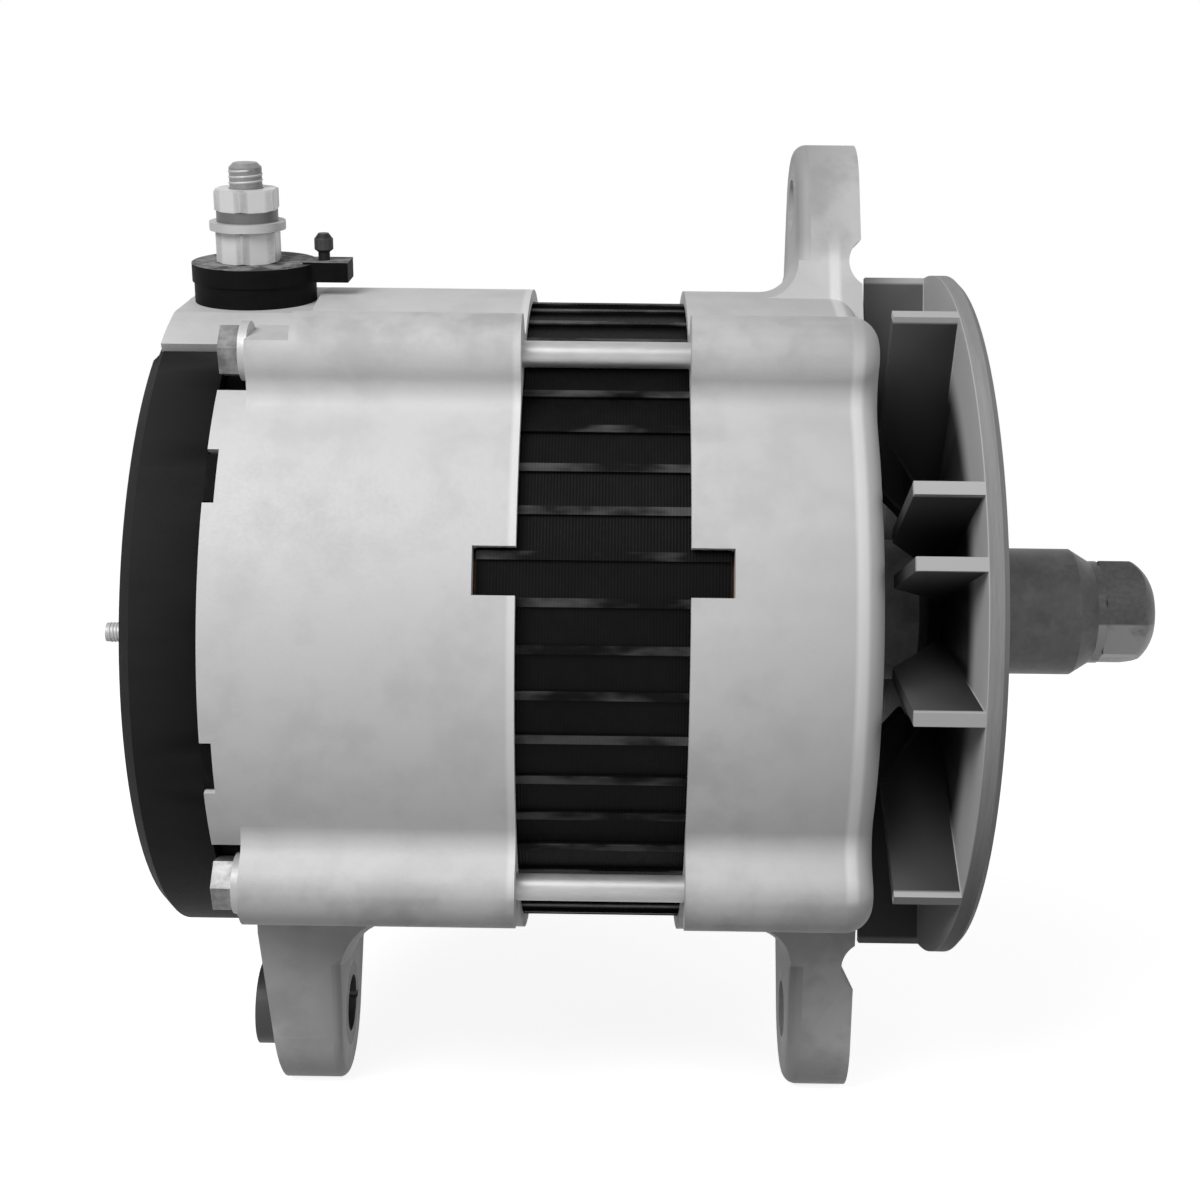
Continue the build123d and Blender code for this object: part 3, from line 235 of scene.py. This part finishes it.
def grained(tree, place, base, grain, patch, depth):
    """A base colour with soft patches, a middle mottle and fine grain; gives the colour and the grain."""
    fine = noise(tree, place, grain, detail=5.0, rough=0.6)
    patches = noise(tree, place, patch, detail=3.0)
    mottle = noise(tree, place, patch * 7, detail=3.0)
    dark = tuple(c * (1 - depth) for c in base)
    light = tuple(min(1.0, c * (1 + depth)) for c in base)
    colour = ramp(tree, patches, [(0.3, dark), (0.7, light)])
    colour = mix(tree, "MULTIPLY", 1.0, colour, ramp(tree, mottle, [(0.35, 1 - depth), (0.65, 1.0)]))
    colour = mix(tree, "MULTIPLY", 1.0, colour, ramp(tree, fine, [(0.25, 1 - depth), (0.75, 1.0)]))
    return colour, fine


def finish_material(material, tree, colour, rough, height, strength, distance, metallic,
                    specular=None):
    shader = add(tree, "ShaderNodeBsdfPrincipled", {"Metallic": metallic})
    if specular is not None:
        shader.inputs["Specular IOR Level"].default_value = specular
    output = add(tree, "ShaderNodeOutputMaterial")
    tree.links.new(colour, shader.inputs["Base Color"])
    tree.links.new(rough, shader.inputs["Roughness"])
    bump = add(tree, "ShaderNodeBump", {"Strength": strength, "Distance": distance})
    tree.links.new(height, bump.inputs["Height"])
    tree.links.new(bump.outputs["Normal"], shader.inputs["Normal"])
    tree.links.new(shader.outputs["BSDF"], output.inputs["Surface"])
    return material


# Materials

def surface(name, base, metallic, rough, grain, grain_depth, strength, patch, depth,
            edge=None, stretch=None, specular=None):
    """A moulded, plated or machined surface: patches, fine grain in colour and bump, worn edges."""
    material, tree = new_material(name)
    place = add(tree, "ShaderNodeTexCoord").outputs["Object"]
    if stretch:
        place = stretched(tree, place, stretch)
    colour, fine = grained(tree, place, base, grain, patch, depth)
    if edge:
        colour = cover(tree, edge_mask(tree), colour, edge)
    rough_value = rough_from(tree, fine, *rough)
    return finish_material(material, tree, colour, rough_value, fine, strength, grain_depth,
                           metallic, specular)


def casting(name, base, edge, highlight_band_at):
    """Blasted aluminium casting: matt, with painted shade underneath and in creases, darker on the lugs,
    bright on the rubbed edges, and a painted highlight band round the barrel.

    The last argument is the place along the shaft of the painted highlight band round the barrel.
    """
    highlight_band_half_width = 1.2 * mm
    material, tree = new_material(name)
    place = Place(tree)
    colour, fine = grained(tree, place.vector, base, grain=1300.0, patch=22.0, depth=0.014)
    # Painted shade underneath the shaft's axis, and darker on the lugs: both take the colour down to 0.70
    # of itself.
    below = past(tree, times(tree, place.z, -1.0), boss_underside, 3.5 * mm)
    painted_shade_and_dark_lugs = largest(tree, below, past(tree, place.radius, lug_foot_radius, 8.0 * mm))
    colour = shade(tree, colour, painted_shade_and_dark_lugs, 0.70)
    # Painted shade in hollows and creases: the colour is darkened where the surface curves inward.
    hollow = pointiness(tree, low=0.42, high=0.49, start=0.62, end=1.0)
    colour = mix(tree, "MULTIPLY", 1.0, colour, hollow)
    spots = speckled(tree, place.vector, scale=90.0, low=0.3, high=0.6, rough=0.55)
    colour = cover(tree, times(tree, edge_mask(tree), spots, 0.5), colour, edge)
    # Painted highlight: a bright band round the barrel at the given place, kept off the painted shade.
    start = past(tree, place.x, highlight_band_at - highlight_band_half_width, highlight_band_half_width)
    stop = past(tree, place.x, highlight_band_at + highlight_band_half_width, highlight_band_half_width)
    highlight_band = math_node(tree, "SUBTRACT", start, stop)
    colour = cover(tree, times(tree, highlight_band, 0.7, opposite(tree, painted_shade_and_dark_lugs)), colour, grey(0.86))
    skin = noise(tree, place.vector, scale=420.0, rough=0.6)
    height = math_node(tree, "ADD", fine, times(tree, skin, 1.6))
    return finish_material(material, tree, colour, rough_from(tree, fine, 0.56, 0.74), height,
                           strength=0.5, distance=0.00006, metallic=0.12)


def fan_paint(name):
    """Dark paint in the pockets of a cast fan, its outside turned; painted light on the back of the disc
    near the rim and on the vanes across y = 0, and painted shade as dark paint on the back of the disc
    further in.
    """
    narrow = 0.2 * mm
    material, tree = new_material(name)
    place = Place(tree)
    paint, fine = grained(tree, place.vector, (0.010, 0.010, 0.0104),
                          grain=1100.0, patch=40.0, depth=0.18)
    # Painted light: the vanes that lie across y = 0 face the lamp and are painted a lighter grey than the
    # rest of the paint.
    aside = past(tree, math_node(tree, "ABSOLUTE", place.y), 4.0 * mm, 2.0 * mm)
    outer = past(tree, place.radius, fan_vane_foot_radius, 15.0 * mm)
    painted_light_on_vanes = times(tree, opposite(tree, aside), outer)
    paint = cover(tree, painted_light_on_vanes, paint, grey(0.11))
    turned = stretched(tree, place.vector, (30.0, 1.0, 1.0))
    metal, lines = grained(tree, turned, grey(0.38), grain=300.0, patch=25.0, depth=0.10)
    # The back of the disc and the vane tips take a lighter grey than the turned metal; on the back of the
    # disc this is painted light.
    metal = cover(tree, past(tree, place.x, fan_disc_back + narrow, narrow), grey(0.58), metal)
    # Painted light on the back of the disc beyond this radius; further in, the dark paint there is painted
    # shade.
    painted_light_ring = past(tree, place.radius, fan_painted_light_radius, 10.0 * mm)
    back = times(tree, past(tree, place.x, fan_disc_back - narrow, narrow), painted_light_ring)
    front = past(tree, place.x, fan_disc_middle, 1.0 * mm)
    rim = past(tree, place.radius, fan_rim_radius, 0.8 * mm)
    outside = largest(tree, back, front, rim)
    colour = cover(tree, outside, paint, metal)
    worn = times(tree, edge_mask(tree, low=0.54, high=0.62), opposite(tree, outside), 0.25)
    colour = cover(tree, worn, colour, grey(0.46))
    height = mix(tree, "MIX", outside, fine, lines)
    return finish_material(material, tree, colour, rough_from(tree, fine, 0.58, 0.74), height,
                           strength=0.45, distance=0.00006, metallic=0.0, specular=0.10)


def turned_steel(name):
    """Dark steel with fine rings from the lathe and darker stains."""
    material, tree = new_material(name)
    place = Place(tree)
    colour, fine = grained(tree, place.vector, (0.135, 0.135, 0.138),
                           grain=1400.0, patch=60.0, depth=0.20)
    rings = bands(tree, place.vector, 0.45 * mm)
    colour = mix(tree, "MULTIPLY", 0.35, colour, ramp(tree, rings, [(0.2, 0.7), (0.7, 1.0)]))
    stains = speckled(tree, place.vector, scale=75.0, low=0.38, high=0.62)
    colour = shade(tree, colour, stains, 0.62)
    height = math_node(tree, "ADD", times(tree, rings, 0.6), fine)
    return finish_material(material, tree, colour, rough_from(tree, fine, 0.40, 0.56), height,
                           strength=0.4, distance=0.00004, metallic=0.4)


def nut_steel(name):
    """Dark forged nut, with painted light in spots on the faces of its lower half."""
    material, tree = new_material(name)
    place = Place(tree)
    colour, fine = grained(tree, place.vector, (0.095, 0.095, 0.098),
                           grain=1300.0, patch=130.0, depth=0.26)
    # Painted light: spots of lighter grey on the faces below the shaft's axis.
    low = past(tree, times(tree, place.z, -1.0), nut_lower_half, 0.6 * mm)
    spots = speckled(tree, place.vector, scale=110.0, low=0.25, high=0.50)
    colour = cover(tree, times(tree, low, spots), colour, grey(0.25))
    return finish_material(material, tree, colour, rough_from(tree, fine, 0.34, 0.52), fine,
                           strength=0.4, distance=0.00005, metallic=0.3)


def stack_of_sheets(name):
    """Painted electrical steel: fine sheet lines, and lighter streaks here and there along the rib tops.
    """
    material, tree = new_material(name)
    place = Place(tree)
    paint, fine = grained(tree, place.vector, (0.0065, 0.0065, 0.0067),
                          grain=900.0, patch=50.0, depth=0.30)
    sheets = bands(tree, place.vector, 0.65 * mm)
    colour = mix(tree, "MULTIPLY", 0.5, paint, ramp(tree, sheets, [(0.2, 0.45), (0.6, 1.0)]))
    lengthways = stretched(tree, place.vector, (0.35, 1.0, 1.0))
    streaks = speckled(tree, lengthways, scale=130.0, low=0.42, high=0.62, detail=3.0, rough=0.55)
    rib_top = past(tree, place.radius, rib_top_radius, 0.35 * mm)
    colour = cover(tree, times(tree, rib_top, streaks, 0.6), colour, grey(0.14))
    height = math_node(tree, "ADD", times(tree, fine, 0.5), sheets)
    return finish_material(material, tree, colour, rough_from(tree, fine, 0.42, 0.60), height,
                           strength=0.5, distance=0.00008, metallic=0.0, specular=0.06)


def bolt_zinc(name):
    """Plated bolts: painted shade, in mottled patches, at the heads in their pockets; lighter plated grey
    along the shank.
    """
    material, tree = new_material(name)
    place = Place(tree)
    lengthways = stretched(tree, place.vector, (0.2, 1.0, 1.0))
    shank, fine = grained(tree, lengthways, grey(0.50), grain=1500.0, patch=100.0, depth=0.10)
    # Painted shade: the heads in their pockets are given a darker, mottled grey than the shank.
    clouds = noise(tree, place.vector, scale=260.0, rough=0.6)
    painted_shade_head = ramp(tree, clouds, [(0.35, 0.13), (0.65, 0.30)])
    colour = cover(tree, past(tree, place.x, bolt_neck, 8.0 * mm), painted_shade_head, shank)
    return finish_material(material, tree, colour, rough_from(tree, fine, 0.34, 0.50), fine,
                           strength=0.4, distance=0.00004, metallic=0.5)


def moulding_with_painted_sheen(name):
    """Black moulding with a painted sheen, in spots, on the faces that look up."""
    material, tree = new_material(name)
    coordinates = add(tree, "ShaderNodeTexCoord")
    place = coordinates.outputs["Object"]
    black, fine = grained(tree, place, (0.007, 0.007, 0.0074), grain=1600.0, patch=60.0, depth=0.25)
    up = split(tree, coordinates.outputs["Normal"])[2]
    # Painted sheen: the faces that look up are lightened in spots.
    spots = speckled(tree, place, scale=240.0, low=0.40, high=0.62, rough=0.65)
    painted_sheen = math_node(tree, "ADD", times(tree, spots, 0.7), 0.15)
    upward = rise(tree, up, low=0.60, high=0.90)
    colour = cover(tree, times(tree, upward, painted_sheen), black, grey(0.34))
    return finish_material(material, tree, colour, rough_from(tree, fine, 0.52, 0.70), fine,
                           strength=0.45, distance=0.00005, metallic=0.0, specular=0.06)


plain_surfaces = {
    "copper_wire": dict(
        base=(0.30, 0.10, 0.045), metallic=0.6, rough=(0.30, 0.45), grain=500.0,
        grain_depth=0.0001, strength=0.6, patch=80.0, depth=0.20),
    "bare_copper": dict(
        base=(0.62, 0.33, 0.20), metallic=1.0, rough=(0.28, 0.45), grain=900.0,
        grain_depth=0.00003, strength=0.4, patch=60.0, depth=0.12),
    "zinc": dict(
        base=(0.50, 0.50, 0.495), metallic=0.15, rough=(0.36, 0.52), grain=1500.0,
        grain_depth=0.00004, strength=0.4, patch=160.0, depth=0.24, edge=grey(0.78)),
    "dull_zinc": dict(
        base=grey(0.32), metallic=0.3, rough=(0.42, 0.58), grain=1300.0,
        grain_depth=0.00005, strength=0.5, patch=100.0, depth=0.16, edge=grey(0.55)),
    "dark_steel": dict(
        base=(0.060, 0.060, 0.062), metallic=0.4, rough=(0.34, 0.52), grain=1400.0,
        grain_depth=0.00004, strength=0.4, patch=90.0, depth=0.30, edge=grey(0.14)),
    "ground_steel": dict(
        base=(0.55, 0.55, 0.57), metallic=1.0, rough=(0.15, 0.28), grain=900.0,
        grain_depth=0.00002, strength=0.3, patch=60.0, depth=0.06, stretch=(8.0, 1.0, 1.0)),
    "black_moulding": dict(
        base=(0.0045, 0.0045, 0.0048), metallic=0.0, rough=(0.52, 0.70), grain=1600.0,
        grain_depth=0.00005, strength=0.45, patch=40.0, depth=0.25, edge=grey(0.024),
        specular=0.06),
    "blackened_steel": dict(
        base=(0.022, 0.022, 0.023), metallic=0.2, rough=(0.42, 0.58), grain=1400.0,
        grain_depth=0.00004, strength=0.4, patch=90.0, depth=0.25, edge=grey(0.10),
        specular=0.2),
    "graphite": dict(
        base=grey(0.05), metallic=0.2, rough=(0.45, 0.60), grain=1500.0,
        grain_depth=0.00004, strength=0.5, patch=200.0, depth=0.2),
    "pressed_sheet": dict(
        base=grey(0.50), metallic=0.9, rough=(0.30, 0.45), grain=900.0,
        grain_depth=0.00004, strength=0.4, patch=60.0, depth=0.10),
}
materials = {
    "rear_casting": casting("rear_casting", grey(0.61), grey(0.72), rear_skirt_edge),
    "front_casting": casting("front_casting", grey(0.56), grey(0.74), front_shoulder),
    "fan_casting": fan_paint("fan_casting"),
    "laminations": stack_of_sheets("laminations"),
    "bolt_zinc": bolt_zinc("bolt_zinc"),
    "moulding_with_painted_sheen": moulding_with_painted_sheen("moulding_with_painted_sheen"),
    "nut_steel": nut_steel("nut_steel"),
    "turned_steel": turned_steel("turned_steel"),
}
for name, finish in plain_surfaces.items():
    materials[name] = surface(name, **finish)

node_material = {
    "rear_casting": ["rear_housing"],
    "front_casting": ["front_housing"],
    "fan_casting": ["fan"],
    "laminations": ["stator_core"],
    "copper_wire": ["stator_winding", "stator_leads", "field_coil"],
    "bare_copper": ["slip_rings", "output_link", "negative_diodes", "positive_diodes"],
    "zinc": ["retainer_screws", "bearing_retainer", "cover_nuts", "cover_washers", "output_lower_nut",
             "output_upper_nut", "holder_screws", "regulator_screws"],
    "dull_zinc": ["through_bolt_washers", "output_plain_washer", "output_stud", "cover_studs"],
    "bolt_zinc": ["through_bolts"],
    "moulding_with_painted_sheen": ["output_insulator"],
    "blackened_steel": ["hinge_bush", "signal_pin"],
    "dark_steel": ["shaft_key", "front_claw_pole", "rear_claw_pole", "output_spring_washer"],
    "nut_steel": ["nut_washer", "shaft_nut"],
    "turned_steel": ["shaft", "front_spacer", "pulley_collar"],
    "ground_steel": ["front_bearing_outer_ring", "front_bearing_inner_ring",
                     "rear_bearing_outer_ring", "rear_bearing_inner_ring"],
    "black_moulding": ["rear_cover", "terminal_board", "insulating_bushes", "inner_insulating_washer",
                       "slip_ring_sleeve", "brush_holder", "field_bobbin"],
    "graphite": ["front_brush", "rear_brush"],
    "pressed_sheet": ["negative_heat_sink", "positive_heat_sink", "voltage_regulator"],
}
for key, names in node_material.items():
    for name in names:
        for slot in nodes[name].material_slots:
            slot.material = materials[key]


# Pieces wound round an axis: the brush springs and the threads

steps_per_turn = 28


def wind(name, radius, section, course, placed, material):
    """Sweep a section round Z; course is a list of angles and heights, placed the final place."""
    mesh = bpy.data.meshes.new(name)
    build = bmesh.new()
    rings = []
    for angle, height in course:
        ring = []
        for outward, along in section:
            reach = radius + outward
            corner = Vector((reach * math.cos(angle), reach * math.sin(angle), height + along))
            ring.append(build.verts.new(placed @ corner))
        rings.append(ring)
    for first, second in zip(rings, rings[1:]):
        for index in range(len(section)):
            after = (index + 1) % len(section)
            face = build.faces.new((first[index], second[index], second[after], first[after]))
            face.smooth = True
    build.faces.new(rings[0])
    build.faces.new(list(reversed(rings[-1])))
    bmesh.ops.recalc_face_normals(build, faces=build.faces)
    build.to_mesh(mesh)
    build.free()
    mesh.materials.append(materials[material])
    piece = bpy.data.objects.new(name, mesh)
    bpy.context.scene.collection.objects.link(piece)
    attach(piece, "housing")
    return piece


# Brush springs, wound from wire in place of the plain spring parts, which are hidden

spring_low = -39.1 * mm
spring_length = 12.0 * mm
spring_radius = 1.78 * mm
spring_turns = 9.0
wire_radius = 0.31 * mm
wire_sides = 10
closed_pitch = 2 * wire_radius
wound_length = spring_length - 2 * wire_radius


def spring_height(turns_done):
    """Height along the spring; its first and last turns lie against their neighbours."""
    if turns_done < 1:
        return closed_pitch * turns_done
    if turns_done > spring_turns - 1:
        return wound_length - closed_pitch * (spring_turns - turns_done)
    share = (turns_done - 1) / (spring_turns - 2)
    return closed_pitch + share * (wound_length - 2 * closed_pitch)


wire_section = []
for index in range(wire_sides):
    turned = 2 * math.pi * index / wire_sides
    wire_section.append((wire_radius * math.cos(turned), wire_radius * math.sin(turned)))
spring_course = []
for step in range(int(spring_turns * steps_per_turn) + 1):
    turns_done = step / steps_per_turn
    spring_course.append((2 * math.pi * turns_done, spring_height(turns_done)))
for side, middle in (("front", -169.0 * mm), ("rear", -179.0 * mm)):
    foot = Matrix.Translation((middle, 0, spring_low + wire_radius))
    coil = wind(side + "_brush_coil", spring_radius, wire_section, spring_course, foot, "zinc")
    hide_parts(side + "_brush_spring")
    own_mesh(coil)


# Threads on the free ends of the studs

ridge_half_width = 0.42
ridge_root = -0.16
ridge_crest = 0.13
ridge_crest_half_width = 0.08


def thread(name, radius, pitch, length, placed):
    """A raised ridge round a plain stud; it starts at the foot of the free end."""
    shape = ((ridge_root, -ridge_half_width), (ridge_crest, -ridge_crest_half_width),
             (ridge_crest, ridge_crest_half_width), (ridge_root, ridge_half_width))
    section = [(outward * pitch, along * pitch) for outward, along in shape]
    half = ridge_half_width * pitch
    steps = int((length - 2 * half) / pitch * steps_per_turn)
    course = []
    for step in range(steps + 1):
        turns_done = step / steps_per_turn
        course.append((2 * math.pi * turns_done, half + turns_done * pitch))
    return wind(name, radius, section, course, placed, "dull_zinc")


output_stud_x = -177.0 * mm
output_stud_lean = math.radians(17.0)
output_nut_top = 97.4 * mm
free_end = Matrix.Translation((output_stud_x, 0, 0)) @ Matrix.Rotation(output_stud_lean, 4, "X")
free_end = free_end @ Matrix.Translation((0, 0, output_nut_top))
thread("output_stud_thread", radius=3.6 * mm, pitch=1.25 * mm, length=4.6 * mm, placed=free_end)

cover_nut_face = -196.4 * mm
cover_stud_places = ((-48.03, -4.03), (20.52, 43.61), (27.51, -39.58))
backwards = Matrix.Rotation(-math.pi / 2, 4, "Y")
for number, (across, up) in enumerate(cover_stud_places, 1):
    foot = Matrix.Translation((cover_nut_face, across * mm, up * mm)) @ backwards
    thread("cover_stud_thread_%d" % number, radius=2.0 * mm, pitch=0.7 * mm, length=4.4 * mm,
           placed=foot)


# Camera, at the photograph's place and angle

camera_place = Vector((-94.5, -424.0, 25.0)) * mm
camera_roll = Matrix.Rotation(math.radians(0.7), 4, "Z")
camera_level = Matrix.Rotation(math.pi / 2, 4, "X")
camera_yaw = Matrix.Rotation(math.radians(0.48), 4, "Z")
camera_data = bpy.data.cameras.new("camera")
camera_data.sensor_width = 36.0
camera_data.lens = 53.7
camera_data.shift_y = -0.0833
camera_data.clip_start = 0.01
camera = bpy.data.objects.new("camera", camera_data)
bpy.context.scene.collection.objects.link(camera)
camera.location = camera_place
camera.rotation_euler = (camera_yaw @ camera_level @ camera_roll).to_euler()
bpy.context.scene.camera = camera


# Floor and world, white to the camera and in reflections

white_colour = (*grey(1.0), 1.0)
paper_colour = (*grey(0.12), 1.0)
shadow_paper_colour = (*grey(0.60), 1.0)
middle_of_part = Vector((-0.09, 0.0, 0.0))
floor_size = 4.0
floor_gap = 0.2 * mm
ambient_strength = 0.12


def shown_directly(tree):
    """1 for rays that come from the camera, a reflection or a see-through surface."""
    path = add(tree, "ShaderNodeLightPath")
    return largest(tree, path.outputs["Is Camera Ray"], path.outputs["Is Glossy Ray"],
                   path.outputs["Is Transmission Ray"])


def by_path(tree, lighting, shown):
    """The first shader where light bounces, the second where the background is seen."""
    blend = add(tree, "ShaderNodeMixShader")
    tree.links.new(shown_directly(tree), blend.inputs["Fac"])
    tree.links.new(lighting, blend.inputs[1])
    tree.links.new(shown, blend.inputs[2])
    return blend.outputs["Shader"]


def floor_material():
    """Glows a little less near the part, where the lamps make up for it and the shadow stays."""
    material, tree = new_material("studio_white")
    distance = add(tree, "ShaderNodeVectorMath", operation="LENGTH")
    tree.links.new(add(tree, "ShaderNodeTexCoord").outputs["Object"], distance.inputs[0])
    away = rise(tree, distance.outputs["Value"], low=0.10, high=0.60)
    glow = add(tree, "ShaderNodeEmission", {"Color": white_colour})
    tree.links.new(ramp(tree, away, [(0.0, 0.86), (1.0, 1.0)]), glow.inputs["Strength"])
    shadow_paper = add(tree, "ShaderNodeBsdfDiffuse", {"Color": shadow_paper_colour})
    shown = add(tree, "ShaderNodeAddShader")
    tree.links.new(glow.outputs["Emission"], shown.inputs[0])
    tree.links.new(shadow_paper.outputs["BSDF"], shown.inputs[1])
    paper = add(tree, "ShaderNodeBsdfDiffuse", {"Color": paper_colour})
    output = add(tree, "ShaderNodeOutputMaterial")
    floor_shader = by_path(tree, paper.outputs["BSDF"], shown.outputs["Shader"])
    tree.links.new(floor_shader, output.inputs["Surface"])
    return material


lowest = cad_box[0][2]
floor_mesh = bpy.data.meshes.new("floor")
floor_bmesh = bmesh.new()
bmesh.ops.create_grid(floor_bmesh, x_segments=8, y_segments=8, size=floor_size)
floor_bmesh.to_mesh(floor_mesh)
floor_bmesh.free()
floor = bpy.data.objects.new("floor", floor_mesh)
bpy.context.scene.collection.objects.link(floor)
floor.location = (middle_of_part.x, 0, lowest - floor_gap)
floor_mesh.materials.append(floor_material())

world = bpy.data.worlds.new("studio")
bpy.context.scene.world = world
world.use_nodes = True
world_tree = world.node_tree
world_tree.nodes.clear()
ambient = add(world_tree, "ShaderNodeBackground", {"Color": white_colour, "Strength": ambient_strength})
white = add(world_tree, "ShaderNodeBackground", {"Color": white_colour, "Strength": 1.0})
world_output = add(world_tree, "ShaderNodeOutputWorld")
world_shader = by_path(world_tree, ambient.outputs["Background"], white.outputs["Background"])
world_tree.links.new(world_shader, world_output.inputs["Surface"])


# Lamps

def lamp(name, place, size, power):
    data = bpy.data.lights.new(name, "AREA")
    data.shape = "DISK"
    data.size = size
    data.energy = power
    item = bpy.data.objects.new(name, data)
    bpy.context.scene.collection.objects.link(item)
    item.location = place
    item.rotation_euler = (middle_of_part - Vector(place)).to_track_quat("-Z", "Y").to_euler()


lamp("key", (-0.38, -0.58, 0.40), size=0.45, power=3.75)
lamp("right", (0.42, -0.50, 0.26), size=0.35, power=0.85)

bpy.context.scene.view_settings.view_transform = "Standard"
